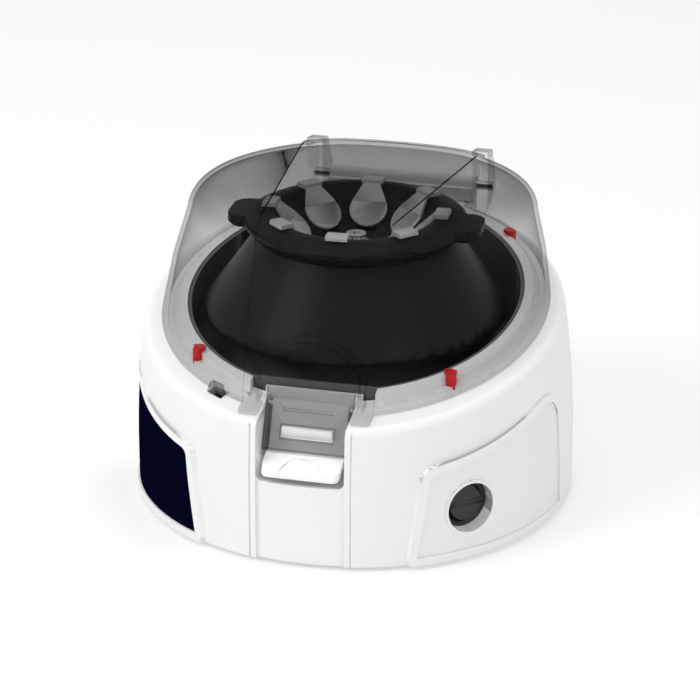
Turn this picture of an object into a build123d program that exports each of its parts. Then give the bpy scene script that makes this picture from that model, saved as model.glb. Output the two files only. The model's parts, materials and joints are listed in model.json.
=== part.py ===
from build123d import *
import math
import os

# Benchtop microcentrifuge with a hinged clear lid, in millimetres.
# +Z is up, the latch faces -Y and the lid hinge is at +Y.
# The origin is on the floor, under the rotor axis.

os.makedirs("parts", exist_ok=True)

# Clearances between pieces
fit_gap = 0.1
seat_gap = 0.05
running_gap = 0.05

# Microtubes
tube_count = 8
tube_bore_r = 5.1
tube_r = 5.0
tube_flange_r = 6.3
tube_cap_r = 6.65
tube_cap_top = 1.56
tube_seat_r = 6.85
tube_seat_depth = 1.6
tube_straight = 12.0
tube_length = 33.0
tube_tip_r = 1.8
tube_tongue_end = 10.0
tube_tongue_half = 2.75
tube_lug_half = 3.7
tube_hinge_gap = 0.5
tube_lean = 45.0

# Rotor head, the dish that carries the tubes
deck_z = 66.8
rotor_lift = 25.2
rotor_turn = 2.5
funnel_r = 21.5
funnel_z = deck_z + rotor_lift
funnel_t = 3.0
crest_r = funnel_r + 6.7
crest_z = funnel_z + 7.2
dish_r = crest_r + 10.2
dish_low_z = funnel_z - 0.5
neck_r = dish_r - 4.0
spigot_r = neck_r - 1.7
spigot_inner_r = spigot_r - 1.5
spigot_low_z = dish_low_z - 1.6
wing_reach = dish_r + 5.6
wing_r = 9.5
wing_t = 4.2
wing_top_z = crest_z - 1.6

# Rotor bell, which covers the tube tips
tube_reach = tube_length * math.sin(math.radians(tube_lean))
bell_tip_gap = 7.57
bell_tip_drop = 6.17
bell_flange_r = funnel_r + tube_reach + bell_tip_gap
bell_low_z = funnel_z - tube_reach - bell_tip_drop

# Drive
shaft_r = 2.5
seal_gap = 0.4
head_seat_z = funnel_z - 16.0
hub_r = 6.0
head_bore_r = hub_r + fit_gap
hub_top_z = head_seat_z + 10.0
hub_flange_r = 10.0
hub_flange_t = 3.0
shaft_top_z = hub_top_z - 2.0
nut_r = 5.0
nut_stem_r = 2.0
nut_h = 5.2
motor_r = 18.5
motor_plate_t = 2.0
motor_plate_r = 34.0
damper_ring_r = 27.0
damper_r = 5.0
damper_h = 7.0
damper_count = 3
motor_screw_ring_r = 12.5
motor_screw_r = 1.5

# Chamber bowl
chamber_gap = 5.8
chamber_r = bell_flange_r + chamber_gap
bowl_r = chamber_r - 0.2
bowl_wall = 1.2
bowl_floor_z = bell_low_z - 17.0
bowl_floor_t = 1.5
bowl_corner_r = 7.0
bowl_rim_h = 3.4
bowl_flange_r = bowl_r + 5.0
bowl_flange_t = 1.8
bowl_steps = ((34.0, 1.2), (26.0, 2.4), (11.0, 5.0))
shaft_hole_r = 5.5
hub_low_z = bowl_floor_z + 10.5
motor_plate_z = bowl_floor_z - damper_h - motor_plate_t

# Housing
foot_lift = 1.5
body_margin = 18.2
body_r = chamber_r + body_margin
body_straight_top = 15.5
body_lean_r = 330.0
wall = 2.6
deck_tilt = 13.3
rim_round = 3.4
far = body_r + 14.0

# Raised ring round the chamber mouth
collar_r = chamber_r + 3.0
collar_h = 3.8
collar_step_r = collar_r + 2.4
collar_step_h = 1.2
collar_gap_half = 21.3

# Side panels
panel_az = 54.0
panel_front_s = -32.4
panel_shoulder_s = -27.9
panel_rear_s = 34.8
panel_rear_top_s = 31.6
panel_bottom = 4.3
panel_shoulder_z = 33.5
panel_mid_z = 39.7
panel_rear_z = 48.4
panel_front_corner_r = 3.0
panel_rear_corner_r = 9.0
panel_border = 2.6
pad_shift = 2.0
panel_sink = 0.7
panel_t = 1.0

# Power switch
switch_az = 44.0
switch_z = 19.2
switch_bore_r = 8.7
switch_lip_r = 9.7
switch_lip_h = 0.5
switch_sink = 6.9
switch_floor_d = body_r - switch_sink
switch_floor_t = 1.4
bezel_r = switch_bore_r - 0.2
bezel_hole_r = 6.75
bezel_h = 3.5
switch_body_r = 7.0
switch_body_len = 16.0
switch_body_gap = 0.5
rocker_r = bezel_hole_r - 0.7
rocker_tilt = 7.0
rocker_pin_r = 1.1
rocker_pin_out = 1.2
rocker_pivot_h = 1.9
rocker_front = 2.6
rocker_back = 1.1
rocker_pivot_d = switch_floor_d + seat_gap + rocker_pivot_h
rocker_pin_end = bezel_hole_r + rocker_pin_out

# Front of the lid: the tab that the latch holds
lid_foot_r = collar_step_r + 3.6
recess_y = 7.9 - lid_foot_r
tab_half = 14.8
tab_t = 1.8
tab_top = (recess_y - 0.1, deck_z - 9.5)
tab_low = (tab_top[0] - 8.2, tab_top[1] - 19.4)
tab_window_half = 9.2
tab_window_low_z = tab_low[1] + 3.4
tab_window_top_z = tab_low[1] + 7.8
tab_rib_z = tab_top[1] - 6.5
tab_rib_half = 8.5
tab_rib_h = 0.9
tab_rib_out = 0.6

# Front channel, pocket and latch
channel_half = tab_half + 0.3
channel_depth = 1.0
groove_x = channel_half + 2.1
groove_w = 0.5
groove_depth = 0.6
pocket_sill_z = tab_low[1] - 8.6
pocket_corner_r = 2.5
bracket_wall = 1.5
bracket_half = channel_half + bracket_wall
bracket_back_y = 3.9 - chamber_r
bracket_back_t = 1.3
bracket_floor_t = 1.6
bracket_floor_z = pocket_sill_z - 0.8 - bracket_floor_t
bracket_rim_h = 1.4
bowl_front_y = bracket_back_y + 0.4
latch_half = 12.9
flap_half = 13.3
latch_axis_y = bracket_back_y - 3.7
latch_axis_z = tab_top[1] - 6.8
latch_pin_r = 1.0
latch_barrel_r = 1.85
latch_plate_t = 2.0
latch_plate_reach = 15.0
flap_rear = (tab_low[0] + 1.6, tab_low[1] - 0.6)
flap_front = (1.4 - body_r, flap_rear[1] - 3.5)
flap_lip = (0.6 - body_r, flap_rear[1] - 5.7)
flap_t = 2.2
flap_corner_r = 2.4
finger_dip_r = 7.0
finger_dip_depth = 0.6
nose_half = 8.5
nose_low_z = tab_window_low_z + 0.3
nose_top_z = tab_window_top_z - 0.5
nose_gap = 0.35
nose_lean = 0.32
latch_spring_half = 4.0
latch_spring_t = 0.4
latch_spring_len = 7.0

# Lid
lid_seat_gap = 0.3
lid_wall = 1.5
lid_waist = (deck_z + 15.8, 6.5, lid_foot_r - 2.7, 4.3)
lid_shoulder_z = crest_z - 1.7
lid_shoulder_r = lid_foot_r - 6.8
lid_shoulder_y = 9.0
lid_shoulder_in = 15.05
lid_shoulder_up = 10.16
lid_shoulder_turn = 72.0
lid_shoulder_steps = 8
lid_top_y = 6.0
lid_top_tilt = -2.3
lid_clearance = 0.45
strip_proud = 1.0
strip_front_half = 22.3
strip_rear_half = 32.8
strip_narrow_y = -39.0
recess_half = 17.0
recess_top_z = deck_z + 7.5
recess_side_z = deck_z - 4.3
tongue_gap = 2.0
pad_half = strip_front_half
pad_front_y = -2.4 - lid_foot_r
pad_t = 1.1
lug_az = -28.5
lug_w = 4.4
lug_low = 4.5
lug_r = (lid_foot_r - 1.6, lid_foot_r - 0.2)

# Lid hinge
hinge_y = body_r - 6.4
hinge_z = deck_z + 20.6
hinge_pin_r = 1.5
knuckle_r = 3.3
tower_half = 27.2
tower_r = body_r - 0.2
hinge_block_front_y = hinge_y - 5.4
hinge_block_half = tower_half - 0.2
hinge_screw_x = 19.0
hinge_screw_y = hinge_y - 2.5
hinge_screw_r = 1.5
hinge_screw_seat_z = hinge_z - 9.0
rear_notch_half = tower_half + 0.5
rear_wall_y = hinge_y - 11.0
cheek_half = rear_notch_half + 5.8
cheek_front_y = rear_wall_y - 0.3
cheek_top_z = crest_z + 3.3
strip_wide_y = rear_wall_y - 2.5

# Lid bumpers
bumper_r = 1.7
bumper_flare = 0.5
bumper_ring_r = collar_step_r - bumper_r
bumper_azimuths = (45.0, 132.0, -132.0, -45.0)
bumper_tab_w = 3.6
bumper_tab_t = 1.0
bumper_socket = 1.0

# Base and electrics
base_t = 2.5
base_top = foot_lift + base_t
base_edge_gap = 0.3
motor_low_z = base_top + 4.0
foot_azimuths = (45.0, 135.0, -135.0, -45.0)
foot_ring_r = body_r - 14.4
foot_r = 6.0
foot_t = 2.0
boss_azimuths = (24.0, 122.0, -122.0, -24.0)
boss_ring_r = body_r - 6.4
boss_r = 4.3
boss_top_z = 20.0
base_screw_r = 1.5
screw_head_r = 2.8
screw_head_h = 1.5
board_size = (34.0, 22.0, 1.6)
board_x = 40.4 - body_r
board_y = body_r - 48.4
board_z = base_top + 8.0
jack_x = -18.0
jack_z = 15.0
jack_r = 3.9
jack_face_y = body_r - 3.8
jack_boss_r = 8.5
jack_nut_r = 5.6
jack_nut_t = 2.0
lid_switch_w = 10.0
lid_switch_r = (lug_r[0] - 4.8, lug_r[1] - 0.6)
lid_switch_top = 6.0
lid_switch_h = 14.0


def save(node, solid):
    if isinstance(solid, (list, tuple)):
        solid = Compound(children=list(solid))
    export_step(solid, f"parts/{node}.step")


def block(x0, x1, y0, y1, z0, z1):
    size = Box(x1 - x0, y1 - y0, z1 - z0)
    return Pos((x0 + x1) / 2, (y0 + y1) / 2, (z0 + z1) / 2) * size


def outward(azimuth):
    """Turns local +X to point out of the front (0) towards +X (90)."""
    return Rot(0, 0, azimuth - 90)


def on_deck(height):
    """The plane parallel to the sloping deck, at a height above it."""
    return Pos(0, 0, deck_z) * Rot(deck_tilt, 0, 0) * Pos(0, 0, height)


def below_deck(height):
    return on_deck(height) * Pos(0, 0, -150) * Box(400, 400, 300)


def deck_height_at(y):
    return deck_z + y * math.tan(math.radians(deck_tilt))


def tube_ring(outer, inner, low, high):
    ring = Cylinder(outer, high - low) - Cylinder(inner, high - low + 2)
    return Pos(0, 0, (low + high) / 2) * ring


def peg(radius, low, high):
    return Pos(0, 0, (low + high) / 2) * Cylinder(radius, high - low)


def turned(points):
    """Revolves a closed outline of (radius, height) points about the Z axis."""
    face = Plane.XZ * make_face(Polyline(*points, close=True))
    return revolve(face, Axis.Z)


# Body of revolution that the housing walls follow, offset inwards
def body_profile(inset, low=0.0, high=100.0):
    centre_r = body_r - body_lean_r
    reach = body_lean_r - inset

    def radius_at(z):
        return centre_r + math.sqrt(reach**2 - (z - body_straight_top) ** 2)

    middle = (body_straight_top + high) / 2
    outline = (
        Line((0, low), (body_r - inset, low))
        + Line((body_r - inset, low), (body_r - inset, body_straight_top))
        + ThreePointArc(
            (body_r - inset, body_straight_top),
            (radius_at(middle), middle),
            (radius_at(high), high),
        )
        + Line((radius_at(high), high), (0, high))
        + Line((0, high), (0, low))
    )
    face = Plane.XZ * make_face(outline)
    return revolve(face, Axis.Z)


# Side panels: one outline, drawn on a plane that faces out of the side
def panel_outline(grow):
    bottom = panel_bottom
    path = (
        Line((panel_front_s, bottom), (panel_shoulder_s, panel_shoulder_z))
        + ThreePointArc(
            (panel_shoulder_s, panel_shoulder_z),
            (3.8, panel_mid_z),
            (panel_rear_top_s, panel_rear_z),
        )
        + Line((panel_rear_top_s, panel_rear_z), (panel_rear_s, bottom))
        + Line((panel_rear_s, bottom), (panel_front_s, bottom))
    )
    face = make_face(path)
    face = fillet(face.vertices().sort_by(Axis.Y)[-1], panel_rear_corner_r)
    face = fillet(face.vertices().sort_by(Axis.X)[1], panel_front_corner_r)
    if grow:
        face = offset(face, amount=grow)
    return face


def panel_prism(grow):
    inner = far - 50.0
    facing = Plane(origin=(0, 0, 0), x_dir=(0, 1, 0), z_dir=(1, 0, 0))
    prism = extrude(facing * panel_outline(grow), amount=50.0)
    return outward(panel_az) * Pos(inner, 0, 0) * prism


def pad_body(inset):
    return Pos(0, -pad_shift, 0) * body_profile(inset)


def side_pad():
    reach = panel_prism(panel_border) + panel_prism(panel_border).moved(Pos(0, 0, -8))
    return reach & pad_body(fit_gap) & block(-far, far, -far, far, foot_lift, 100)


def both_sides(solid):
    return [solid, mirror(solid, Plane.YZ)]


def switch_axis(distance):
    """A place on the switch's axis, with local +Z pointing out of the side."""
    return outward(switch_az) * Pos(distance, 0, switch_z) * Rot(0, 90, 0)


def switch_disc(radius, inner_d, outer_d):
    middle = (inner_d + outer_d) / 2
    return switch_axis(middle) * Cylinder(radius, outer_d - inner_d)


def ring_of(azimuths, radius, solid):
    return [outward(azimuth) * Pos(radius, 0, 0) * solid for azimuth in azimuths]


def front_gap(half, rear_y=0.0):
    return block(-half, half, -far, rear_y, 0, 130)


def along_x(points, half):
    """Extrudes a closed (y, z) outline to both sides of the middle plane."""
    face = make_face(Polyline(*[(0, y, z) for y, z in points], close=True))
    return extrude(face, amount=half, dir=(1, 0, 0), both=True)


def bar_x(y, z, radius, x0, x1):
    return Pos((x0 + x1) / 2, y, z) * Rot(0, 90, 0) * Cylinder(radius, abs(x1 - x0))


# Housing
def collar_ring():
    upper = tube_ring(collar_r, chamber_r, 30, 120) & below_deck(collar_h)
    lower = tube_ring(collar_step_r, chamber_r, 30, 120) & below_deck(collar_step_h)
    return (upper + lower) - below_deck(-wall / 2) - front_gap(collar_gap_half)


def housing():
    shell = body_profile(0) & below_deck(0)
    shell = fillet(shell.edges().sort_by(Axis.Z)[-1], rim_round)
    tower = block(-tower_half, tower_half, chamber_r - 8, far, body_straight_top + 2, 120)
    shell += tower & peg(tower_r, 0, 130) & below_deck(0)
    for pad in both_sides(side_pad()):
        shell += pad
    shell -= body_profile(wall, low=-5) & below_deck(-wall)
    shell -= block(-far, far, -far, far, -10, foot_lift)
    shell -= peg(chamber_r, 30, 120)
    shell += collar_ring()
    bosses = ring_of(boss_azimuths, boss_ring_r, peg(boss_r, base_top + seat_gap, boss_top_z))
    for boss in bosses:
        shell += boss & body_profile(wall / 2)
    shell += jack_boss()
    shell += outward(lug_az) * lid_switch_shelf() & body_profile(wall / 2) & below_deck(-wall / 2)
    for cutter in housing_cuts():
        shell -= cutter
    return shell


def housing_cuts():
    pocket = block(-channel_half, channel_half, -far, bracket_back_y + 0.1, pocket_sill_z, 130)
    pocket = fillet(pocket.edges().filter_by(Axis.Y).sort_by(Axis.Z)[:2], pocket_corner_r)
    yield pocket
    channel = block(-channel_half, channel_half, -far, -chamber_r, -5, pocket_sill_z + 5)
    yield channel - body_profile(channel_depth, low=-10)
    for side in (-1, 1):
        x = side * groove_x
        groove = block(x - groove_w / 2, x + groove_w / 2, -far, -chamber_r, -5, 100)
        yield groove - body_profile(groove_depth, low=-10)
    for panel in both_sides(panel_prism(0) - pad_body(panel_sink + panel_t + fit_gap)):
        yield panel
    pin_reach = bracket_half + fit_gap
    yield bar_x(latch_axis_y, latch_axis_z, latch_pin_r + seat_gap, -pin_reach, pin_reach)
    yield switch_disc(switch_lip_r + fit_gap, switch_floor_d - 14, far)
    for screw in ring_of(boss_azimuths, boss_ring_r, peg(base_screw_r + fit_gap, 0, boss_top_z - 2)):
        yield screw
    for azimuth in bumper_azimuths:
        yield bumper_place(azimuth) * peg(bumper_r + seat_gap, -bumper_socket - seat_gap, 10)
    yield jack_cut()
    yield outward(lug_az) * block(lug_r[0] - 0.6, lug_r[1] + 2.2, -lug_w / 2 - 0.9, lug_w / 2 + 0.9, 40, 120)
    for x in (-hinge_screw_x, hinge_screw_x):
        yield Pos(x, hinge_screw_y, 0) * peg(hinge_screw_r + fit_gap, 40, 120)
        yield Pos(x, hinge_screw_y, 0) * peg(screw_head_r + fit_gap, 30, hinge_screw_seat_z + seat_gap)


def bumper_place(azimuth):
    spot = outward(azimuth) * Pos(bumper_ring_r, 0, 0)
    centre = spot.position
    return Pos(centre.X, centre.Y, deck_height_at(centre.Y)) * Rot(0, 0, azimuth - 90)


def bumper(azimuth):
    inward = collar_r - bumper_ring_r
    slope = math.tan(math.radians(deck_tilt)) * math.cos(math.radians(azimuth))
    rise = collar_h / math.cos(math.radians(deck_tilt)) + seat_gap + abs(slope) * 3.8
    post = peg(bumper_r, -bumper_socket, rise + 0.3)
    tab = block(inward - 2.0, 0, -bumper_tab_w / 2, bumper_tab_w / 2, rise, rise + bumper_tab_t)
    tab = fillet(tab.edges().filter_by(Axis.Z).sort_by(Axis.X)[:2], 1.4)
    head = Pos(0, 0, rise + 0.4) * Cone(bumper_r, bumper_r + bumper_flare, 1.2)
    head &= block(-9, 0.4, -9, 9, 0, 40)
    return bumper_place(azimuth) * (post + tab + head)


# Side panels and the power switch
def panel_sheet():
    sheet = pad_body(panel_sink) - pad_body(panel_sink + panel_t)
    return panel_prism(-fit_gap) & sheet


def switch_panel():
    cup = switch_disc(switch_lip_r, switch_floor_d - switch_floor_t, far)
    cup = cup & pad_body(panel_sink - switch_lip_h)
    panel = panel_sheet() + cup
    panel -= switch_disc(switch_bore_r, switch_floor_d, far)
    return panel - switch_disc(switch_body_r + fit_gap, switch_floor_d - 9, far)


def switch_bezel():
    low = switch_floor_d + seat_gap
    ring = switch_disc(bezel_r, low, low + bezel_h) - switch_disc(bezel_hole_r, low - 9, far)
    rim = ring.edges().filter_by(GeomType.CIRCLE).sort_by(rim_distance)[-2:]
    ring = chamfer(rim, 0.5)
    pin = Rot(90, 0, 0) * Cylinder(rocker_pin_r + running_gap, 2 * rocker_pin_end)
    return ring - switch_axis(rocker_pivot_d) * pin


def rim_distance(edge):
    centre = edge.center()
    return math.hypot(centre.X, centre.Y)


def switch_body():
    front = switch_floor_d - switch_body_gap
    return switch_disc(switch_body_r, front - switch_body_len, front)


def power_rocker():
    middle = (rocker_front - rocker_back) / 2
    disc = Pos(0, 0, middle) * Cylinder(rocker_r, rocker_front + rocker_back)
    for side in (0, 180):
        ramp = Rot(0, 0, side) * Pos(0, 0, rocker_front) * Rot(0, rocker_tilt, 0)
        disc -= ramp * Pos(10, 0, 5) * Box(20, 30, 10)
    disc += Rot(90, 0, 0) * Cylinder(rocker_pin_r, 2 * (rocker_pin_end - fit_gap))
    return switch_axis(rocker_pivot_d) * Rot(0, -rocker_tilt, 0) * disc


# Base
def base_plate():
    plate = peg(body_r - wall - base_edge_gap, foot_lift, base_top)
    for spot in ring_of(foot_azimuths, foot_ring_r, peg(foot_r + fit_gap, 0, foot_t + seat_gap)):
        plate -= spot
    for spot in ring_of(boss_azimuths, boss_ring_r, peg(base_screw_r + fit_gap, 0, 10)):
        plate -= spot
    for spot in ring_of(boss_azimuths, boss_ring_r, peg(screw_head_r + fit_gap, 0, foot_lift + screw_head_h)):
        plate -= spot
    for side in (-1, 1):
        x = board_x + side * (board_size[0] / 2 - 4)
        plate += Pos(x, board_y, 0) * peg(2.5, foot_lift, board_z - seat_gap)
    return plate


def base_screws():
    screw = peg(screw_head_r, foot_lift + 0.2, foot_lift + screw_head_h - seat_gap)
    screw += peg(base_screw_r, foot_lift + 0.2, boss_top_z - 4)
    return ring_of(boss_azimuths, boss_ring_r, screw)


def foot():
    return chamfer(peg(foot_r, 0, foot_t).edges().sort_by(Axis.Z)[0], 0.4)


def control_board():
    length, width, thick = board_size
    board = Pos(board_x, board_y, board_z + thick / 2) * Box(length, width, thick)
    top = board_z + thick
    board += Pos(board_x - 9, board_y, 0) * peg(4.0, top, top + 9)
    board += block(board_x - 1, board_x + 7, board_y - 4, board_y + 4, top, top + 2)
    board += block(board_x + 9, board_x + 15, board_y - 8, board_y + 8, top, top + 6)
    return board


# Power inlet at the rear
def jack_bar(radius, y0, y1):
    return Pos(jack_x, (y0 + y1) / 2, jack_z) * Rot(90, 0, 0) * Cylinder(radius, y1 - y0)


def jack_boss():
    return jack_bar(jack_boss_r, jack_face_y - 3.0, far) & body_profile(wall / 2)


def jack_cut():
    face = jack_bar(jack_nut_r + 1.2, jack_face_y, far)
    return face + jack_bar(jack_r + fit_gap, jack_face_y - 22, far)


def dc_jack():
    shoulder = jack_face_y - 3.0 - seat_gap
    body = jack_bar(jack_r, shoulder - 1, jack_face_y + 3.0)
    body += Pos(jack_x, shoulder - 6, jack_z) * Box(11, 12, 11)
    return body - jack_bar(2.8, shoulder - 6, far)


def jack_nut():
    low = jack_face_y + seat_gap
    hexagon = extrude(RegularPolygon(jack_nut_r, 6), amount=jack_nut_t)
    nut = Pos(jack_x, low, jack_z) * Rot(-90, 0, 0) * hexagon
    return nut - jack_bar(jack_r + fit_gap, jack_face_y - 12, far)


# Lid switch under the deck, below the lid's lug
def lid_switch_level():
    centre = (outward(lug_az) * Pos(sum(lug_r) / 2, 0, 0)).position
    return deck_height_at(centre.Y)


def lid_switch_shelf():
    top = lid_switch_level() - lid_switch_top
    half = lid_switch_w / 2
    return block(lid_switch_r[1] + seat_gap, far, -half, half, top - lid_switch_h, top - 2)


def lid_switch():
    top = lid_switch_level() - lid_switch_top
    half = lid_switch_w / 2
    case = block(lid_switch_r[0], lid_switch_r[1], -half, half, top - lid_switch_h, top)
    button = block(lid_switch_r[1] - 1.6, lid_switch_r[1] - 0.4, -1, 1, top, top + 0.8)
    return outward(lug_az) * (case + button)


# Latch pocket lining
def latch_bracket():
    lining = block(-bracket_half, bracket_half, -far, bracket_back_y, bracket_floor_z, 120)
    lining -= block(
        -channel_half,
        channel_half,
        -far,
        bracket_back_y - bracket_back_t,
        bracket_floor_z + bracket_floor_t,
        120,
    )
    behind = body_profile(wall + seat_gap) & below_deck(-wall - seat_gap)
    back = block(-bracket_half, bracket_half, bracket_back_y - bracket_back_t, bracket_back_y, 0, 120)
    bracket = (lining & behind) + (lining & back & below_deck(bracket_rim_h))
    reach = bracket_half + 1
    return bracket - bar_x(latch_axis_y, latch_axis_z, latch_pin_r + seat_gap, -reach, reach)


def latch_pin():
    return bar_x(latch_axis_y, latch_axis_z, latch_pin_r, -bracket_half, bracket_half)


def tab_plane_y(z, back=0.0):
    lean = (tab_top[0] - tab_low[0]) / (tab_top[1] - tab_low[1])
    angle = math.atan(lean)
    return tab_top[0] - (tab_top[1] - z) * lean + back / math.cos(angle)


def latch_lever():
    lean = math.atan((tab_top[0] - tab_low[0]) / (tab_top[1] - tab_low[1]))
    down = (-math.sin(lean), -math.cos(lean))
    out = (-math.cos(lean), math.sin(lean))

    def place(along, forward):
        return (
            latch_axis_y + along * down[0] + forward * out[0],
            latch_axis_z + along * down[1] + forward * out[1],
        )

    front = latch_barrel_r
    back = latch_barrel_r - latch_plate_t
    plate = along_x(
        [place(0, front), place(latch_plate_reach, front), place(latch_plate_reach, back), place(0, back)],
        latch_half,
    )
    barrel = bar_x(latch_axis_y, latch_axis_z, latch_barrel_r, -latch_half, latch_half)
    under = (flap_lip[0] + 0.6, flap_lip[1])
    flap = along_x(
        [
            flap_rear,
            (tab_low[0], flap_rear[1] - 0.2),
            flap_front,
            (flap_lip[0], flap_lip[1] + 0.8),
            under,
            (tab_low[0], flap_rear[1] - flap_t - 0.4),
            (flap_rear[0] + 2.6, flap_rear[1] - flap_t),
            (flap_rear[0] + 3.1, flap_rear[1]),
        ],
        flap_half,
    )
    corners = flap.edges().filter_by(flap_corner)
    flap = fillet(corners, flap_corner_r)
    dip = Pos(0, flap_front[0] - 0.2, flap_front[1]) * Rot(-flap_slope(), 0, 0)
    flap -= dip * Pos(0, 0, 5 - finger_dip_depth) * Cylinder(finger_dip_r, 10)
    nose_y = tab_plane_y(tab_window_low_z, tab_t) + nose_gap
    nose = along_x(
        [
            (nose_y, nose_low_z),
            (nose_y - nose_lean * (nose_top_z - tab_window_low_z), nose_top_z),
            (tab_plane_y(nose_top_z, tab_t) + 1.5, nose_top_z),
            (tab_plane_y(nose_low_z, tab_t) + 1.5, nose_low_z),
        ],
        nose_half,
    )
    lever = plate + barrel + flap + nose
    return lever - bar_x(latch_axis_y, latch_axis_z, latch_pin_r + running_gap, -20, 20)


def flap_slope():
    return math.degrees(
        math.atan2(flap_rear[1] - 0.2 - flap_front[1], tab_low[0] - flap_front[0])
    ) * -1


def flap_corner(edge):
    centre = edge.center()
    upright = abs((edge @ 1 - edge @ 0).X) < 0.01
    return upright and abs(abs(centre.X) - flap_half) < 0.1 and centre.Y < flap_lip[0] + 0.5


def latch_spring():
    foot_y = bracket_back_y - bracket_back_t - seat_gap
    foot_top = latch_axis_z - 10.5
    return along_x(
        [
            (foot_y, foot_top),
            (foot_y, foot_top - latch_spring_len),
            (foot_y - latch_spring_t, foot_top - latch_spring_len),
            (foot_y - latch_spring_t, foot_top - 2 * latch_spring_t),
            (latch_axis_y - 2.2, foot_top + 1.6),
            (latch_axis_y - 2.0, foot_top + 2.0),
        ],
        latch_spring_half,
    )


# Chamber bowl, hung under the deck by its flange
def chamber_bowl():
    def cup(radius, low, corner):
        solid = peg(radius, low, 120) & block(-far, far, front_y(radius), far, 0, 130)
        return fillet(solid.edges().group_by(Axis.Z)[0], corner)

    def front_y(radius):
        return bowl_front_y + (bowl_r - radius)

    outer = cup(bowl_r, bowl_floor_z, bowl_corner_r) & below_deck(bowl_rim_h)
    flange = peg(bowl_flange_r, 30, 120) & block(-far, far, bowl_front_y, far, 0, 130)
    flange = (flange & below_deck(-wall - seat_gap)) - below_deck(-wall - seat_gap - bowl_flange_t)
    bowl = outer + flange
    bowl -= cup(bowl_r - bowl_wall, bowl_floor_z + bowl_floor_t, bowl_corner_r - bowl_wall)
    for radius, height in bowl_steps:
        bowl += peg(radius, bowl_floor_z + 0.2, bowl_floor_z + bowl_floor_t + height)
    return bowl - peg(shaft_hole_r, 0, 120)


def shaft_seal():
    top = bowl_floor_z + bowl_floor_t + bowl_steps[-1][1]
    low = top + seat_gap
    seal = tube_ring(shaft_hole_r - seat_gap, shaft_r + seal_gap, top - 3.0, low)
    return seal + tube_ring(shaft_hole_r + 1.5, shaft_r + seal_gap, low, low + 1.2)


# Drive
def motor():
    can = peg(motor_r, motor_low_z, motor_plate_z - seat_gap)
    can = chamfer(can.edges().sort_by(Axis.Z)[0], 1.0)
    can += peg(6.0, motor_plate_z - 1, motor_plate_z + motor_plate_t)
    for x, y in screw_ring(motor_screw_ring_r, 4):
        can -= Pos(x, y, 0) * peg(motor_screw_r + seat_gap, motor_plate_z - 6, motor_plate_z + 1)
    return can - peg(shaft_r + running_gap, motor_low_z + 4, 60)


def screw_ring(radius, count, start=45.0):
    for index in range(count):
        angle = math.radians(start + index * 360.0 / count)
        yield radius * math.cos(angle), radius * math.sin(angle)


def motor_plate():
    plate = peg(motor_plate_r, motor_plate_z, motor_plate_z + motor_plate_t) - peg(6.1, 0, 60)
    for x, y in screw_ring(motor_screw_ring_r, 4):
        plate -= Pos(x, y, 0) * peg(motor_screw_r + fit_gap, 30, 60)
    return plate


def motor_screws():
    top = motor_plate_z + motor_plate_t + seat_gap
    screw = peg(motor_screw_r, motor_plate_z - 5, top) + peg(2.7, top, top + 1.8)
    return [Pos(x, y, 0) * screw for x, y in screw_ring(motor_screw_ring_r, 4)]


def motor_dampers():
    low = motor_plate_z + motor_plate_t + seat_gap
    damper = peg(damper_r, low, bowl_floor_z - seat_gap)
    return [Pos(x, y, 0) * damper for x, y in screw_ring(damper_ring_r, damper_count, 90.0)]


def rotor_hub():
    hub = peg(hub_r, hub_low_z, hub_top_z)
    hub += peg(hub_flange_r, head_seat_z - hub_flange_t, head_seat_z - seat_gap)
    return hub - peg(shaft_r + seat_gap, 0, shaft_top_z + 0.2) - peg(nut_stem_r + seat_gap, 50, 120)


def rotor_nut():
    low = hub_top_z + seat_gap
    nut_top_z = hub_top_z + nut_h
    nut = peg(nut_r, low, low + 2.0) + peg(nut_r - 1.5, low, nut_top_z)
    nut += peg(nut_stem_r, shaft_top_z + 0.3, low)
    socket = Pos(0, 0, nut_top_z - 2.0) * extrude(RegularPolygon(1.7, 6), amount=5)
    return nut - socket


def motor_shaft():
    return peg(shaft_r, motor_low_z + 4.3, shaft_top_z)


# Rotor
def tube_place(index):
    turn = rotor_turn + index * 360.0 / tube_count
    return Rot(0, 0, turn) * Pos(funnel_r, 0, funnel_z) * Rot(0, -tube_lean, 0)


def funnel_level(radius):
    return funnel_z - funnel_r + radius


def rotor_head():
    drop = funnel_t * math.sqrt(2)
    floor_r = hub_r + 2.0
    under_r = spigot_inner_r - 1.6
    head = turned(
        [
            (head_bore_r, funnel_level(floor_r)),
            (floor_r, funnel_level(floor_r)),
            (crest_r - 0.4, funnel_level(crest_r - 0.4)),
            (crest_r, crest_z),
            (crest_r + 1.2, crest_z + 0.3),
            (dish_r - 4.9, crest_z - 0.2),
            (dish_r - 1.1, crest_z - 1.5),
            (dish_r, crest_z - 2.5),
            (dish_r - 0.2, crest_z - 3.7),
            (dish_r - 1.6, crest_z - 5.3),
            (neck_r + 0.8, dish_low_z + 0.6),
            (neck_r, dish_low_z),
            (spigot_r, dish_low_z),
            (spigot_r, spigot_low_z),
            (spigot_inner_r, spigot_low_z),
            (spigot_inner_r, dish_low_z + 2.0),
            (under_r, funnel_level(under_r) - drop),
            (head_seat_z - funnel_level(0) + drop, head_seat_z),
            (head_bore_r, head_seat_z),
        ]
    )
    for side in (0, 180):
        wing = block(neck_r - 2.5, wing_reach, -wing_r, wing_r, wing_top_z - wing_t, wing_top_z)
        wing = fillet(wing.edges().filter_by(Axis.Z).sort_by(Axis.X)[-2:], 5.5)
        wing = chamfer(wing.edges().group_by(Axis.Z)[0], 1.2)
        head += Rot(0, 0, side + rotor_turn) * wing
    for index in range(tube_count):
        head -= tube_place(index) * peg(tube_seat_r, -tube_seat_depth, 30)
        head -= tube_place(index) * peg(tube_bore_r, -20, 30)
    return head


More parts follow.
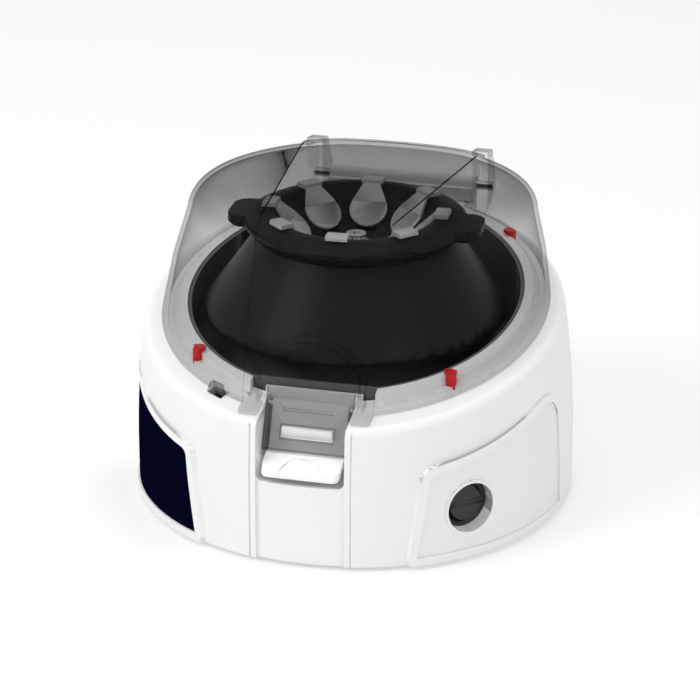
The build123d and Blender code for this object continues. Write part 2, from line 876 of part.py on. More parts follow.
def rotor_skirt():
    top = dish_low_z - seat_gap
    return turned(
        [
            (neck_r, top),
            (bell_flange_r - 1.6, bell_low_z + 6.7),
            (bell_flange_r - 0.5, bell_low_z + 4.7),
            (bell_flange_r, bell_low_z + 2.7),
            (bell_flange_r - 0.3, bell_low_z + 1.3),
            (bell_flange_r - 1.2, bell_low_z),
            (bell_flange_r - 2.8, bell_low_z),
            (bell_flange_r - 2.0, bell_low_z + 1.7),
            (bell_flange_r - 1.8, bell_low_z + 2.7),
            (bell_flange_r - 2.2, bell_low_z + 4.1),
            (bell_flange_r - 3.3, bell_low_z + 6.2),
            (spigot_r + seat_gap, top - 1.85),
            (spigot_r + seat_gap, top),
        ]
    )


def microtube(index):
    outline = [
        (0, tube_cap_top),
        (tube_cap_r - 0.4, tube_cap_top),
        (tube_cap_r, tube_cap_top - 0.4),
        (tube_cap_r, 0.1),
        (tube_flange_r, 0.0),
        (tube_flange_r, -tube_seat_depth + seat_gap),
        (tube_r, -tube_seat_depth + seat_gap),
        (tube_r, -tube_straight),
        (tube_tip_r, 1.2 - tube_length),
        (0.8, -tube_length),
        (0, -tube_length),
    ]
    tube = turned(outline)
    far_corner = math.hypot(tube_tongue_end, tube_tongue_half)
    touch = math.acos(tube_cap_r / far_corner) + math.atan2(tube_tongue_half, tube_tongue_end)
    near = tube_cap_r * math.cos(touch)
    near_half = tube_cap_r * math.sin(touch)
    tongue = Pos(0, 0, tube_hinge_gap) * extrude(
        make_face(
            Polyline(
                (near, -near_half),
                (tube_tongue_end, -tube_tongue_half),
                (tube_tongue_end, tube_tongue_half),
                (near, near_half),
                close=True,
            )
        ),
        amount=1.1,
    )
    tube = tube_place(index) * (tube + tongue)
    low = crest_z + tube_hinge_gap
    lug = block(crest_r - 0.9, crest_r + 4.2, -tube_lug_half, tube_lug_half, low, crest_z + 2.0)
    lug = fillet(lug.edges().filter_by(Axis.Y).sort_by(Axis.Z)[-2:], 0.7)
    turn = rotor_turn + index * 360.0 / tube_count
    return tube + Rot(0, 0, turn) * lug


# Lid
def lid_form(grow, low):
    """The lid's outside form, offset outwards, from a level above the deck."""
    height, tilt, radius, y = lid_waist
    rings = [
        on_deck(low) * flat_ring(lid_foot_r + grow, deck_tilt),
        Pos(0, y, height) * Rot(tilt, 0, 0) * flat_ring(radius + grow, tilt),
    ]
    for step in range(lid_shoulder_steps + 1):
        turn = math.radians(lid_shoulder_turn * step / lid_shoulder_steps)
        out = math.cos(turn)
        up = math.sin(turn)
        drift = 1 - (step / lid_shoulder_steps) ** 3
        y = lid_top_y + (lid_shoulder_y - lid_top_y) * drift + 2.2 * up * out * drift
        tilt = lid_top_tilt * up
        height = lid_shoulder_z + lid_shoulder_up * up + grow * max(up, 0.1)
        radius = lid_shoulder_r - lid_shoulder_in * (1 - out) + grow * out
        rings.append(Pos(0, y, height) * Rot(tilt, 0, 0) * flat_ring(radius, tilt))
    return loft(rings, ruled=True)


def flat_ring(radius, tilt):
    """An ellipse that looks like a circle from above when its plane is tilted."""
    return Ellipse(radius, radius / math.cos(math.radians(tilt)))


def lid_strip():
    plan = Polyline(
        (-strip_front_half, -far),
        (strip_front_half, -far),
        (strip_front_half, strip_narrow_y),
        (strip_rear_half, strip_wide_y),
        (-strip_rear_half, strip_wide_y),
        (-strip_front_half, strip_narrow_y),
        close=True,
    )
    return lid_form(strip_proud, lid_seat_gap) & extrude(make_face(plan), amount=140)


def arch_prism(half, side_z, top_z, y):
    outline = (
        Line((-half, 20), (-half, side_z))
        + ThreePointArc((-half, side_z), (0, top_z), (half, side_z))
        + Line((half, side_z), (half, 20))
        + Line((half, 20), (-half, 20))
    )
    face = Plane.XZ * make_face(outline)
    return Pos(0, y, 0) * extrude(face, amount=60)


def cheek():
    deck = lid_clearance
    outline = [
        (cheek_front_y, deck_height_at(cheek_front_y) + deck),
        (hinge_y - 1.0, deck_height_at(hinge_y - 1.0) + deck),
        (hinge_y, hinge_z - knuckle_r),
        (hinge_y + knuckle_r, hinge_z),
        (hinge_y + knuckle_r, hinge_z + 3.0),
        (hinge_y - 3.0, cheek_top_z),
        (cheek_front_y, cheek_top_z + 1.5),
    ]
    face = make_face(Polyline(*[(rear_notch_half, y, z) for y, z in outline], close=True))
    plate = extrude(face, amount=cheek_half - rear_notch_half, dir=(1, 0, 0))
    return plate + bar_x(hinge_y, hinge_z, knuckle_r, rear_notch_half, cheek_half)


def lid():
    outer = lid_form(0, lid_seat_gap) + lid_strip()
    outer -= arch_prism(recess_half, recess_side_z, recess_top_z, recess_y)
    outer -= block(-rear_notch_half, rear_notch_half, rear_wall_y, 120, 0, 140)
    inner = lid_form(-lid_wall, lid_seat_gap - 2.0)
    inner -= arch_prism(
        recess_half + lid_wall, recess_side_z + lid_wall, recess_top_z + lid_wall, recess_y + lid_wall
    )
    inner -= block(
        -rear_notch_half - lid_wall, rear_notch_half + lid_wall, rear_wall_y - lid_wall, 120, 0, 140
    )
    solid = outer - inner
    over_rim = block(-recess_half, recess_half, recess_y - 1, bracket_back_y + 4, 30, 130)
    solid -= over_rim & below_deck(bracket_rim_h + tongue_gap)
    for side in both_sides(cheek()):
        solid += side
    solid += lid_tab()
    for pad in both_sides(lid_pad()):
        solid += pad
    lug = block(*lug_r, -lug_w / 2, lug_w / 2, lid_switch_level() - lug_low, lid_switch_level() + 3)
    solid += outward(lug_az) * lug
    over_collar = peg(collar_step_r + lid_clearance, 30, 120) & below_deck(collar_h + lid_clearance)
    solid -= over_collar - front_gap(collar_gap_half - lid_clearance)
    solid -= bar_x(hinge_y, hinge_z, hinge_pin_r + running_gap, -40, 40)
    return solid


def lid_pad():
    """The foot beside the tab, flat on the deck in front of the collar's end."""
    low = below_deck(lid_seat_gap)
    plan = block(channel_half + 0.4, pad_half, pad_front_y, recess_y - 3.5, 0, 130)
    plan = fillet(plan.edges().filter_by(Axis.Z).sort_by(Axis.Y)[:2], 1.2)
    return (plan & below_deck(lid_seat_gap + pad_t)) - low


def lid_tab():
    foot = tab_plane_y(tab_low[1], tab_t)
    head = tab_plane_y(tab_top[1] + 2, tab_t)
    tab = along_x(
        [
            tab_low,
            tab_top,
            (recess_y, tab_top[1] + 3),
            (recess_y + lid_wall, tab_top[1] + 3),
            (head, tab_top[1] + 2),
            (foot, tab_low[1]),
        ],
        tab_half,
    )
    tab -= block(
        -tab_window_half, tab_window_half, -far, bracket_back_y, tab_window_low_z, tab_window_top_z
    )
    rib_y = tab_plane_y(tab_rib_z)
    tab += block(
        -tab_rib_half,
        tab_rib_half,
        rib_y - tab_rib_out,
        rib_y + 0.6,
        tab_rib_z - tab_rib_h / 2,
        tab_rib_z + tab_rib_h / 2,
    )
    return tab


# Lid hinge
def hinge_block():
    base = block(-hinge_block_half, hinge_block_half, hinge_block_front_y, hinge_y + knuckle_r, 60, hinge_z)
    barrel = bar_x(hinge_y, hinge_z, knuckle_r, -hinge_block_half, hinge_block_half)
    solid = ((base & peg(tower_r, 0, 130)) + barrel) - below_deck(seat_gap)
    solid -= bar_x(hinge_y, hinge_z, hinge_pin_r + seat_gap, -40, 40)
    for x in (-hinge_screw_x, hinge_screw_x):
        solid -= Pos(x, hinge_screw_y, 0) * peg(hinge_screw_r + fit_gap, 60, hinge_z - 2.0)
    return solid


def hinge_pin():
    return bar_x(hinge_y, hinge_z, hinge_pin_r, -cheek_half, cheek_half)


def hinge_screws():
    top = hinge_z - 2.6
    low = hinge_screw_seat_z
    screw = peg(hinge_screw_r, low - 1, top) + peg(screw_head_r, low - 2, low)
    return [Pos(x, hinge_screw_y, 0) * screw for x in (-hinge_screw_x, hinge_screw_x)]


save("housing", housing())
save("base_plate", base_plate())
save("base_screws", base_screws())
for number, azimuth in enumerate(foot_azimuths, 1):
    save(f"foot_{number}", ring_of((azimuth,), foot_ring_r, foot())[0])
save("label_panel", mirror(panel_sheet(), Plane.YZ))
save("switch_panel", switch_panel())
save("switch_bezel", switch_bezel())
save("switch_body", switch_body())
save("power_rocker", power_rocker())
for number, azimuth in enumerate(bumper_azimuths, 1):
    save(f"bumper_{number}", bumper(azimuth))
save("latch_bracket", latch_bracket())
save("latch_pin", latch_pin())
save("latch_lever", latch_lever())
save("latch_spring", latch_spring())
save("chamber_bowl", chamber_bowl())
save("shaft_seal", shaft_seal())
save("motor", motor())
save("motor_plate", motor_plate())
save("motor_screws", motor_screws())
save("motor_dampers", motor_dampers())
save("motor_shaft", motor_shaft())
save("rotor_hub", rotor_hub())
save("rotor_nut", rotor_nut())
save("rotor_head", rotor_head())
save("rotor_skirt", rotor_skirt())
for number in range(tube_count):
    save(f"tube_{number + 1}", microtube(number))
save("lid", lid())
save("hinge_block", hinge_block())
save("hinge_pin", hinge_pin())
save("hinge_screws", hinge_screws())
save("control_board", control_board())
save("dc_jack", dc_jack())
save("jack_nut", jack_nut())
save("lid_switch", lid_switch())
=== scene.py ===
import bpy
import json
import math
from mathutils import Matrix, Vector


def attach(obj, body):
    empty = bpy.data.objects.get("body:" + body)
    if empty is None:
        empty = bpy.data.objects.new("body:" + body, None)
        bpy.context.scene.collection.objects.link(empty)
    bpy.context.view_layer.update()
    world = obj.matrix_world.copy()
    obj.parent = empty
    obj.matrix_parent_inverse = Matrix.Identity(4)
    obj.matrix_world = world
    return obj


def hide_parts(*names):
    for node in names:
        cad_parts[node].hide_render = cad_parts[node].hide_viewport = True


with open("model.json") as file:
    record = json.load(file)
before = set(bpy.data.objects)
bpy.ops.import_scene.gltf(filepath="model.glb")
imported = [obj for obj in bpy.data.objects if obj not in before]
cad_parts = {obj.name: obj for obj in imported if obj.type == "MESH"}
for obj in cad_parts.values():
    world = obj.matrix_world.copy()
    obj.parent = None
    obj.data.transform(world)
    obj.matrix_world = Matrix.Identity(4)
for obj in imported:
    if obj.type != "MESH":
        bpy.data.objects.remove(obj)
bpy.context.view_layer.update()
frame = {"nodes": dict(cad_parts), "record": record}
print("frame loaded:", len(frame["nodes"]), "nodes")


# small helpers
def deselectAll():
    if bpy.context.object and bpy.context.object.mode != "OBJECT":
        bpy.ops.object.mode_set(mode="OBJECT")
    bpy.ops.object.select_all(action="DESELECT")


def pick(piece):
    deselectAll()
    piece.select_set(True)
    bpy.context.view_layer.objects.active = piece


def bodyOf(node):
    for body, members in frame["record"]["behaviour"]["bodies"].items():
        if node in members:
            return body


# node groups that several materials share
def newGroup(name, inputs, outputs):
    group = bpy.data.node_groups.new(name, "ShaderNodeTree")
    for label, kind, value in inputs:
        socket = group.interface.new_socket(label, in_out="INPUT", socket_type=kind)
        socket.default_value = value
    for label, kind in outputs:
        group.interface.new_socket(label, in_out="OUTPUT", socket_type=kind)
    start = group.nodes.new("NodeGroupInput")
    end = group.nodes.new("NodeGroupOutput")
    return group, start, end


def buildMouldGrain():
    # fine spark-eroded grain of moulded plastic, with a slow change of tone and gloss
    group, start, end = newGroup(
        "mouldGrain",
        [
            ("Color", "NodeSocketColor", (0.8, 0.8, 0.8, 1)),
            ("Roughness", "NodeSocketFloat", 0.4),
            ("Grain Size", "NodeSocketFloat", 0.0006),
            ("Tone", "NodeSocketFloat", 0.04),
            ("Gloss Change", "NodeSocketFloat", 0.06),
            ("Depth", "NodeSocketFloat", 0.1),
        ],
        [("Color", "NodeSocketColor"), ("Roughness", "NodeSocketFloat"), ("Normal", "NodeSocketVector")],
    )
    nodes, links = group.nodes, group.links
    place = nodes.new("ShaderNodeTexCoord")
    perMetre = nodes.new("ShaderNodeMath")
    perMetre.operation = "DIVIDE"
    perMetre.inputs[0].default_value = 1.0
    links.new(start.outputs["Grain Size"], perMetre.inputs[1])
    fine = nodes.new("ShaderNodeTexNoise")
    fine.inputs["Detail"].default_value = 3.0
    links.new(place.outputs["Object"], fine.inputs["Vector"])
    links.new(perMetre.outputs[0], fine.inputs["Scale"])
    slow = nodes.new("ShaderNodeTexNoise")
    slow.inputs["Scale"].default_value = 22.0
    slow.inputs["Detail"].default_value = 2.0
    links.new(place.outputs["Object"], slow.inputs["Vector"])
    toneRange = nodes.new("ShaderNodeMath")
    toneRange.operation = "MULTIPLY_ADD"
    links.new(slow.outputs["Fac"], toneRange.inputs[0])
    links.new(start.outputs["Tone"], toneRange.inputs[1])
    toneRange.inputs[2].default_value = 1.0
    shift = nodes.new("ShaderNodeMath")
    shift.operation = "MULTIPLY_ADD"
    links.new(start.outputs["Tone"], shift.inputs[0])
    shift.inputs[1].default_value = -0.5
    links.new(toneRange.outputs[0], shift.inputs[2])
    tinted = nodes.new("ShaderNodeVectorMath")
    tinted.operation = "SCALE"
    links.new(start.outputs["Color"], tinted.inputs[0])
    links.new(shift.outputs[0], tinted.inputs["Scale"])
    links.new(tinted.outputs[0], end.inputs["Color"])
    glossShift = nodes.new("ShaderNodeMath")
    glossShift.operation = "MULTIPLY_ADD"
    links.new(slow.outputs["Fac"], glossShift.inputs[0])
    links.new(start.outputs["Gloss Change"], glossShift.inputs[1])
    links.new(start.outputs["Roughness"], glossShift.inputs[2])
    links.new(glossShift.outputs[0], end.inputs["Roughness"])
    bump = nodes.new("ShaderNodeBump")
    bump.inputs["Distance"].default_value = 0.0001
    links.new(start.outputs["Depth"], bump.inputs["Strength"])
    links.new(fine.outputs["Fac"], bump.inputs["Height"])
    links.new(bump.outputs[0], end.inputs["Normal"])
    return group


def buildTurnedMetal():
    # concentric tool marks round the rotor axis
    group, start, end = newGroup(
        "turnedMetal",
        [
            ("Color", "NodeSocketColor", (0.7, 0.7, 0.7, 1)),
            ("Roughness", "NodeSocketFloat", 0.25),
            ("Pitch", "NodeSocketFloat", 0.0004),
            ("Depth", "NodeSocketFloat", 0.15),
        ],
        [("Color", "NodeSocketColor"), ("Roughness", "NodeSocketFloat"), ("Normal", "NodeSocketVector")],
    )
    nodes, links = group.nodes, group.links
    place = nodes.new("ShaderNodeTexCoord")
    rings = nodes.new("ShaderNodeTexWave")
    rings.wave_type = "RINGS"
    rings.rings_direction = "Z"
    rings.inputs["Distortion"].default_value = 0.4
    perMetre = nodes.new("ShaderNodeMath")
    perMetre.operation = "DIVIDE"
    perMetre.inputs[0].default_value = 0.3
    links.new(start.outputs["Pitch"], perMetre.inputs[1])
    links.new(perMetre.outputs[0], rings.inputs["Scale"])
    links.new(place.outputs["Object"], rings.inputs["Vector"])
    spread = nodes.new("ShaderNodeMath")
    spread.operation = "MULTIPLY_ADD"
    links.new(rings.outputs["Fac"], spread.inputs[0])
    spread.inputs[1].default_value = 0.12
    links.new(start.outputs["Roughness"], spread.inputs[2])
    links.new(spread.outputs[0], end.inputs["Roughness"])
    shade = nodes.new("ShaderNodeMath")
    shade.operation = "MULTIPLY_ADD"
    links.new(rings.outputs["Fac"], shade.inputs[0])
    shade.inputs[1].default_value = 0.1
    shade.inputs[2].default_value = 0.93
    tinted = nodes.new("ShaderNodeVectorMath")
    tinted.operation = "SCALE"
    links.new(start.outputs["Color"], tinted.inputs[0])
    links.new(shade.outputs[0], tinted.inputs["Scale"])
    links.new(tinted.outputs[0], end.inputs["Color"])
    bump = nodes.new("ShaderNodeBump")
    bump.inputs["Distance"].default_value = 0.00005
    links.new(start.outputs["Depth"], bump.inputs["Strength"])
    links.new(rings.outputs["Fac"], bump.inputs["Height"])
    links.new(bump.outputs[0], end.inputs["Normal"])
    return group


mouldGrain = buildMouldGrain()
turnedMetal = buildTurnedMetal()


# materials
def plasticMaterial(name, color, roughness, grain=0.0006, depth=0.1, tone=0.04, glossChange=0.06, specular=0.5):
    material = bpy.data.materials.new(name)
    material.use_nodes = True
    nodes, links = material.node_tree.nodes, material.node_tree.links
    shader = nodes["Principled BSDF"]
    finish = nodes.new("ShaderNodeGroup")
    finish.node_tree = mouldGrain
    finish.inputs["Color"].default_value = (*color, 1)
    finish.inputs["Roughness"].default_value = roughness
    finish.inputs["Grain Size"].default_value = grain
    finish.inputs["Depth"].default_value = depth
    finish.inputs["Tone"].default_value = tone
    finish.inputs["Gloss Change"].default_value = glossChange
    links.new(finish.outputs["Color"], shader.inputs["Base Color"])
    links.new(finish.outputs["Roughness"], shader.inputs["Roughness"])
    links.new(finish.outputs["Normal"], shader.inputs["Normal"])
    shader.inputs["Specular IOR Level"].default_value = specular
    return material


def metalMaterial(name, color, roughness, pitch=0.0004, depth=0.15):
    material = bpy.data.materials.new(name)
    material.use_nodes = True
    nodes, links = material.node_tree.nodes, material.node_tree.links
    shader = nodes["Principled BSDF"]
    finish = nodes.new("ShaderNodeGroup")
    finish.node_tree = turnedMetal
    finish.inputs["Color"].default_value = (*color, 1)
    finish.inputs["Roughness"].default_value = roughness
    finish.inputs["Pitch"].default_value = pitch
    finish.inputs["Depth"].default_value = depth
    links.new(finish.outputs["Color"], shader.inputs["Base Color"])
    links.new(finish.outputs["Roughness"], shader.inputs["Roughness"])
    links.new(finish.outputs["Normal"], shader.inputs["Normal"])
    shader.inputs["Metallic"].default_value = 1.0
    return material


smoke = {
    "color": (0.006, 0.006, 0.0063),
    "roughness": 0.04,
    "specular": 0.0,
    "edgeBlend": 0.12,
    "clearest": 0.082,
    "densest": 0.62,
    "plateStart": 0.0985,
    "plateEnd": 0.1045,
    "plateExtra": 0.95,
    "tabTop": 0.0575,
    "tabHalf": 0.0152,
    "tabExtra": 1.3,
    # painted shade: where the dark line along the strip's side edges starts, and how much denser it is
    "edgeStart": 0.10775,
    "edgeFall": 0.0402,
    "edgeFacing": 0.75,
    "paintedEdgeShade": 7.0,
}


def mathStep(nodes, links, operation, first, second):
    step = nodes.new("ShaderNodeMath")
    step.operation = operation
    for place, value in enumerate((first, second)):
        if isinstance(value, (int, float)):
            step.inputs[place].default_value = value
        else:
            links.new(value, step.inputs[place])
    return step.outputs[0]


def smokeThickness(nodes, links, solid):
    # how much thicker than the side wall the lid is at the top plate and the front tab, plus painted shade: a
    # dark line along the strip's steep side edges that stands in for light bent away at the step
    place = nodes.new("ShaderNodeTexCoord")
    spot = nodes.new("ShaderNodeSeparateXYZ")
    links.new(place.outputs["Object"], spot.inputs[0])
    turned = nodes.new("ShaderNodeSeparateXYZ")
    links.new(place.outputs["Normal"], turned.inputs[0])
    plate = nodes.new("ShaderNodeMapRange")
    plate.inputs["From Min"].default_value = smoke["plateStart"]
    plate.inputs["From Max"].default_value = smoke["plateEnd"]
    plate.inputs["To Min"].default_value = 1.0 + solid
    plate.inputs["To Max"].default_value = 1.0 + solid + smoke["plateExtra"]
    links.new(spot.outputs["Z"], plate.inputs["Value"])
    low = mathStep(nodes, links, "LESS_THAN", spot.outputs["Z"], smoke["tabTop"])
    aside = mathStep(nodes, links, "ABSOLUTE", spot.outputs["X"], 0.0)
    between = mathStep(nodes, links, "LESS_THAN", aside, smoke["tabHalf"])
    tab = mathStep(nodes, links, "MULTIPLY", low, between)
    # painted shade: a dark line on the steep side faces of the strip near the top, standing in for light bent
    # away there
    fall = mathStep(nodes, links, "MULTIPLY", spot.outputs["Y"], smoke["edgeFall"])
    level = mathStep(nodes, links, "ADD", spot.outputs["Z"], fall)
    high = mathStep(nodes, links, "GREATER_THAN", level, smoke["edgeStart"])
    sideways = mathStep(nodes, links, "ABSOLUTE", turned.outputs["X"], 0.0)
    steep = mathStep(nodes, links, "GREATER_THAN", sideways, smoke["edgeFacing"])
    edge = mathStep(nodes, links, "MULTIPLY", high, steep)
    tabPart = mathStep(nodes, links, "MULTIPLY", tab, smoke["tabExtra"])
    paintedEdgeShadePart = mathStep(nodes, links, "MULTIPLY", edge, smoke["paintedEdgeShade"])
    extra = mathStep(nodes, links, "ADD", tabPart, paintedEdgeShadePart)
    return mathStep(nodes, links, "ADD", plate.outputs["Result"], extra)


def smokedMaterial(name, solid=0.0):
    # each skin of the wall darkens what is behind it, more so where it is thick or seen at a low angle
    material = plasticMaterial(
        name,
        smoke["color"],
        smoke["roughness"],
        grain=0.004,
        depth=0.0,
        tone=0.02,
        glossChange=0.01,
        specular=smoke["specular"],
    )
    nodes, links = material.node_tree.nodes, material.node_tree.links
    shader = nodes["Principled BSDF"]
    facing = nodes.new("ShaderNodeLayerWeight")
    facing.inputs["Blend"].default_value = smoke["edgeBlend"]
    density = nodes.new("ShaderNodeMapRange")
    density.inputs["To Min"].default_value = smoke["clearest"]
    density.inputs["To Max"].default_value = smoke["densest"]
    links.new(facing.outputs["Facing"], density.inputs["Value"])
    total = nodes.new("ShaderNodeMath")
    total.operation = "MULTIPLY"
    total.use_clamp = True
    links.new(density.outputs["Result"], total.inputs[0])
    links.new(smokeThickness(nodes, links, solid), total.inputs[1])
    links.new(total.outputs[0], shader.inputs["Alpha"])
    return material


finishes = {
    "housingWhite": plasticMaterial("housingWhite", (0.87, 0.87, 0.87), 0.38, depth=0.06),
    "flapWhite": plasticMaterial("flapWhite", (0.93, 0.93, 0.93), 0.35, depth=0.05),
    "panelWhite": plasticMaterial("panelWhite", (0.84, 0.84, 0.84), 0.42, depth=0.08),
    "labelNavy": plasticMaterial("labelNavy", (0.0018, 0.0018, 0.012), 0.6, depth=0.0, specular=0.0),
    "lidSmoke": smokedMaterial("lidSmoke"),
    "lugSmoke": smokedMaterial("lugSmoke", solid=1.2),
    "rotorBlack": plasticMaterial("rotorBlack", (0.012, 0.012, 0.0125), 0.34, depth=0.0, specular=0.09),
    "bowlDark": plasticMaterial("bowlDark", (0.13, 0.13, 0.132), 0.5, depth=0.04, specular=0.2),
    "switchBlack": plasticMaterial("switchBlack", (0.012, 0.012, 0.012), 0.4, depth=0.1),
    "tubePale": plasticMaterial("tubePale", (0.72, 0.73, 0.74), 0.4, grain=0.0004, depth=0.12),
    "pegRed": plasticMaterial("pegRed", (0.75, 0.006, 0.01), 0.45, depth=0.05),
    "rubberBlack": plasticMaterial("rubberBlack", (0.015, 0.015, 0.015), 0.75, depth=0.2),
    "baseGrey": plasticMaterial("baseGrey", (0.3, 0.3, 0.31), 0.5, depth=0.2),
    "boardGreen": plasticMaterial("boardGreen", (0.02, 0.12, 0.05), 0.45, grain=0.0012, depth=0.15),
    "steelPlated": metalMaterial("steelPlated", (0.6, 0.6, 0.61), 0.3),
    "hubAluminium": metalMaterial("hubAluminium", (0.77, 0.77, 0.78), 0.22, pitch=0.0003),
    "steelBright": metalMaterial("steelBright", (0.62, 0.62, 0.63), 0.2),
}
print("materials made:", len(finishes))

slotFinish = {
    "white_housing": "housingWhite",
    "white_flap": "flapWhite",
    "white_panel": "panelWhite",
    "navy_label": "labelNavy",
    "smoked_lid": "lidSmoke",
    "dark_rotor": "rotorBlack",
    "dark_bowl": "bowlDark",
    "black_plastic": "switchBlack",
    "pale_tube": "tubePale",
    "red_rubber": "pegRed",
    "black_rubber": "rubberBlack",
    "grey_base": "baseGrey",
    "green_board": "boardGreen",
    "plated_steel": "steelPlated",
    "hub_aluminium": "hubAluminium",
    "bright_steel": "steelBright",
}
nodeSlot = {entry["node"]: entry["material_slot"] for entry in frame["record"]["subparts"]}

for node, piece in frame["nodes"].items():
    piece.data.materials.clear()
    piece.data.materials.append(finishes[slotFinish[nodeSlot[node]]])


# smoothed copies of the CAD pieces that show
smoothing = {
    "housing": 22,
    "lid": 13,
    "rotor_head": 26,
    "rotor_skirt": 26,
    "chamber_bowl": 24,
    "latch_lever": 12,
    "latch_bracket": 22,
    "label_panel": 16,
    "switch_panel": 16,
    "switch_bezel": 20,
    "power_rocker": 20,
    "rotor_nut": 20,
    "rotor_hub": 20,
    "hinge_block": 20,
    "base_plate": 20,
}
for number in range(1, 9):
    smoothing["tube_" + str(number)] = 24
for number in range(1, 5):
    smoothing["bumper_" + str(number)] = 28
    smoothing["foot_" + str(number)] = 28


# turned surfaces that the housing and the side panels follow, in metres
turnedWall = {
    "radius": 0.0764045,
    "straightTop": 0.0155,
    "leanRadius": 0.33,
    "panelShift": 0.002,
    "near": 0.00006,
    "facingCosine": math.cos(math.radians(24)),
}
deckPlane = {"height": 0.0668, "tilt": math.radians(13.3)}


def wallNormal(point, inset, shift):
    # outward direction of the turned wall at a point, or nothing where the point is off it
    x, y = point.x, point.y + shift
    radius = math.hypot(x, y)
    centre = turnedWall["radius"] - turnedWall["leanRadius"]
    if point.z <= turnedWall["straightTop"]:
        if abs(radius - turnedWall["radius"] + inset) > turnedWall["near"]:
            return None
        return Vector((x, y, 0)).normalized()
    rise = point.z - turnedWall["straightTop"]
    if abs(math.hypot(radius - centre, rise) - turnedWall["leanRadius"] + inset) > turnedWall["near"]:
        return None
    return Vector((x / radius * (radius - centre), y / radius * (radius - centre), rise)).normalized()


def deckNormal(point):
    normal = Vector((0, -math.sin(deckPlane["tilt"]), math.cos(deckPlane["tilt"])))
    if abs((point - Vector((0, 0, deckPlane["height"]))).dot(normal)) > turnedWall["near"]:
        return None
    return normal


def trueNormals(piece, walls):
    # a face whose corners all lie on one turned wall or on the deck takes that surface's own directions
    mesh = piece.data
    found = []
    for vertex in mesh.vertices:
        found.append([wallNormal(vertex.co, inset, shift) for inset, shift in walls] + [deckNormal(vertex.co)])
    normals = [corner.vector.copy() for corner in mesh.corner_normals]
    for face in mesh.polygons:
        for options in zip(*(found[corner] for corner in face.vertices)):
            if None in options or face.normal.dot(options[0]) < turnedWall["facingCosine"]:
                continue
            for loop, direction in zip(face.loop_indices, options):
                normals[loop] = direction
            break
    mesh.normals_split_custom_set(normals)


shift = turnedWall["panelShift"]
trueWalls = {
    "housing": [(0.0, 0.0), (0.001, 0.0), (0.0006, 0.0), (0.0001, shift)],
    "label_panel": [(0.0007, shift)],
    "switch_panel": [(0.0007, shift), (0.0002, shift)],
}


def smoothCopy(node, angle):
    source = frame["nodes"][node]
    piece = bpy.data.objects.new(node + "Smooth", source.data.copy())
    bpy.context.scene.collection.objects.link(piece)
    pick(piece)
    bpy.ops.object.mode_set(mode="EDIT")
    bpy.ops.mesh.select_all(action="SELECT")
    bpy.ops.mesh.remove_doubles(threshold=0.00001)
    bpy.ops.object.mode_set(mode="OBJECT")
    bpy.ops.object.shade_smooth_by_angle(angle=math.radians(angle))
    if node in trueWalls:
        trueNormals(piece, trueWalls[node])
    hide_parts(node)
    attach(piece, bodyOf(node))
    return piece


fingerDip = {
    "spot": (0.0, -0.0752, 0.0338),
    "slope": math.radians(-24.03),
    "depth": 0.0006,
    "raise": 0.00042,
    "reach": 0.0073,
    "near": 0.00003,
}
dipDirection = Vector((0, math.sin(fingerDip["slope"]), math.cos(fingerDip["slope"])))


def softenDip(piece):
    # the finger dip of the flap is only a faint mark, so its floor is lifted towards the flap's top
    raised = 0
    for vertex in piece.data.vertices:
        offset = vertex.co - Vector(fingerDip["spot"])
        depth = offset.dot(dipDirection)
        aside = (offset - dipDirection * depth).length
        if abs(depth + fingerDip["depth"]) < fingerDip["near"] and aside < fingerDip["reach"]:
            vertex.co += dipDirection * fingerDip["raise"]
            raised += 1
    print("dip corners raised:", raised)


for node, angle in smoothing.items():
    smoothed = smoothCopy(node, angle)
    if node == "latch_lever":
        softenDip(smoothed)
print("smoothed pieces:", len(smoothing))


# the lug on the lid's foot that covers the slot of the lid switch
lidLug = {
    "spot": (-0.0325, -0.05985),
    "half": (0.0014, 0.0033, 0.0017),
    "rise": 0.0019,
    "draft": 0.0007,
    "edge": 0.0006,
    "segments": 3,
    "smoothing": 40,
}


def addLidLug():
    x, y = lidLug["spot"]
    level = deckPlane["height"] + y * math.tan(deckPlane["tilt"])
    deselectAll()
    bpy.ops.mesh.primitive_cube_add(size=2.0)
    lug = bpy.context.object
    lug.name = "lidLug"
    azimuth = math.atan2(y, x)
    outward = Vector((math.cos(azimuth), math.sin(azimuth), 0))
    along = Vector((-outward.y, outward.x, 0))
    for vertex in lug.data.vertices:
        depth, width, height = (side * half for side, half in zip(vertex.co, lidLug["half"]))
        if height > 0:
            depth -= lidLug["draft"] if depth > 0 else 0
            width -= math.copysign(lidLug["draft"], width)
        place = Vector((x, y, level + lidLug["rise"])) + outward * depth + along * width
        slope = (place - Vector((x, y, 0))).dot(Vector((0, math.tan(deckPlane["tilt"]), 0)))
        vertex.co = place + Vector((0, 0, height + slope))
    bevel = lug.modifiers.new("roundEdges", "BEVEL")
    bevel.width = lidLug["edge"]
    bevel.segments = lidLug["segments"]
    pick(lug)
    bpy.ops.object.modifier_apply(modifier=bevel.name)
    bpy.ops.object.shade_smooth_by_angle(angle=math.radians(lidLug["smoothing"]))
    lug.data.materials.append(finishes["lugSmoke"])
    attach(lug, "lid_body")


addLidLug()
print("lid lug added")


# floor, light and camera
studio = {
    "floorSize": 6.0,
    "floorTone": 0.97,
    "cameraPlace": (0.2301, -0.8948, 0.4301),
    "cameraAim": (-0.0020, -0.0005, 0.0477),
    "lens": 147.5,
    "floorGlow": 0.5,
    "worldLevel": 0.54,
    "keyPower": 8.4,
    "fillPower": 2.9,
    "topPower": 5.5,
}


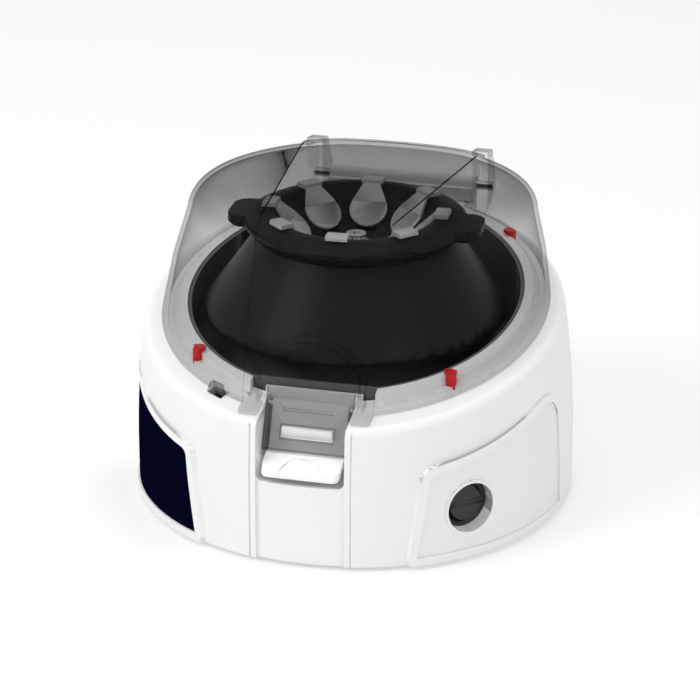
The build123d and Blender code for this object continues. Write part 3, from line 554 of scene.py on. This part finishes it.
def backgroundRays(nodes, links):
    # 1 for rays that see the background straight, in a reflection or through glass
    lightPath = nodes.new("ShaderNodeLightPath")
    reflected = nodes.new("ShaderNodeMath")
    reflected.operation = "MAXIMUM"
    links.new(lightPath.outputs["Is Camera Ray"], reflected.inputs[0])
    links.new(lightPath.outputs["Is Glossy Ray"], reflected.inputs[1])
    seen = nodes.new("ShaderNodeMath")
    seen.operation = "MAXIMUM"
    links.new(reflected.outputs[0], seen.inputs[0])
    links.new(lightPath.outputs["Is Transmission Ray"], seen.inputs[1])
    return seen.outputs[0]


deselectAll()
bpy.ops.mesh.primitive_plane_add(size=studio["floorSize"], location=(0, 0, 0))
floor = bpy.context.object
floor.name = "studioFloor"
floorMaterial = bpy.data.materials.new("studioFloor")
floorMaterial.use_nodes = True
nodes, links = floorMaterial.node_tree.nodes, floorMaterial.node_tree.links
floorShader = nodes["Principled BSDF"]
floorShader.inputs["Base Color"].default_value = (studio["floorTone"],) * 3 + (1,)
floorShader.inputs["Roughness"].default_value = 0.9
glow = nodes.new("ShaderNodeEmission")
glow.inputs["Color"].default_value = (1, 1, 1, 1)
glow.inputs["Strength"].default_value = 1.0
amount = nodes.new("ShaderNodeMath")
amount.operation = "MULTIPLY"
amount.inputs[1].default_value = studio["floorGlow"]
links.new(backgroundRays(nodes, links), amount.inputs[0])
floorMix = nodes.new("ShaderNodeMixShader")
links.new(amount.outputs[0], floorMix.inputs[0])
links.new(floorShader.outputs[0], floorMix.inputs[1])
links.new(glow.outputs[0], floorMix.inputs[2])
links.new(floorMix.outputs[0], nodes["Material Output"].inputs["Surface"])
floor.data.materials.append(floorMaterial)

world = bpy.data.worlds.new("studioWorld")
bpy.context.scene.world = world
world.use_nodes = True
nodes, links = world.node_tree.nodes, world.node_tree.links
lit = nodes["Background"]
lit.inputs["Color"].default_value = (1, 1, 1, 1)
lit.inputs["Strength"].default_value = studio["worldLevel"]
shown = nodes.new("ShaderNodeBackground")
shown.inputs["Color"].default_value = (1, 1, 1, 1)
shown.inputs["Strength"].default_value = 1.0
worldMix = nodes.new("ShaderNodeMixShader")
links.new(backgroundRays(nodes, links), worldMix.inputs[0])
links.new(lit.outputs[0], worldMix.inputs[1])
links.new(shown.outputs[0], worldMix.inputs[2])
links.new(worldMix.outputs[0], nodes["World Output"].inputs["Surface"])


def areaLamp(name, place, size, power):
    bpy.ops.object.light_add(type="AREA", location=place)
    lamp = bpy.context.object
    lamp.name = name
    lamp.data.shape = "RECTANGLE"
    lamp.data.size = size[0]
    lamp.data.size_y = size[1]
    lamp.data.energy = power
    aim = Vector((0, 0, 0.05)) - Vector(place)
    lamp.rotation_euler = aim.to_track_quat("-Z", "Y").to_euler()
    return lamp


areaLamp("keyLamp", (-0.9, -0.7, 1.1), (0.7, 0.7), studio["keyPower"])
areaLamp("fillLamp", (0.9, -0.9, 0.7), (0.8, 0.8), studio["fillPower"])
areaLamp("topLamp", (0.0, 0.1, 1.4), (1.0, 1.0), studio["topPower"])

bpy.ops.object.camera_add(location=studio["cameraPlace"])
camera = bpy.context.object
camera.name = "photoCamera"
camera.data.lens = studio["lens"]
camera.data.sensor_width = 36.0
camera.data.clip_start = 0.05
aim = Vector(studio["cameraAim"]) - Vector(studio["cameraPlace"])
camera.rotation_euler = aim.to_track_quat("-Z", "Y").to_euler()
bpy.context.scene.camera = camera
bpy.context.scene.view_settings.view_transform = "Standard"
print("studio set")
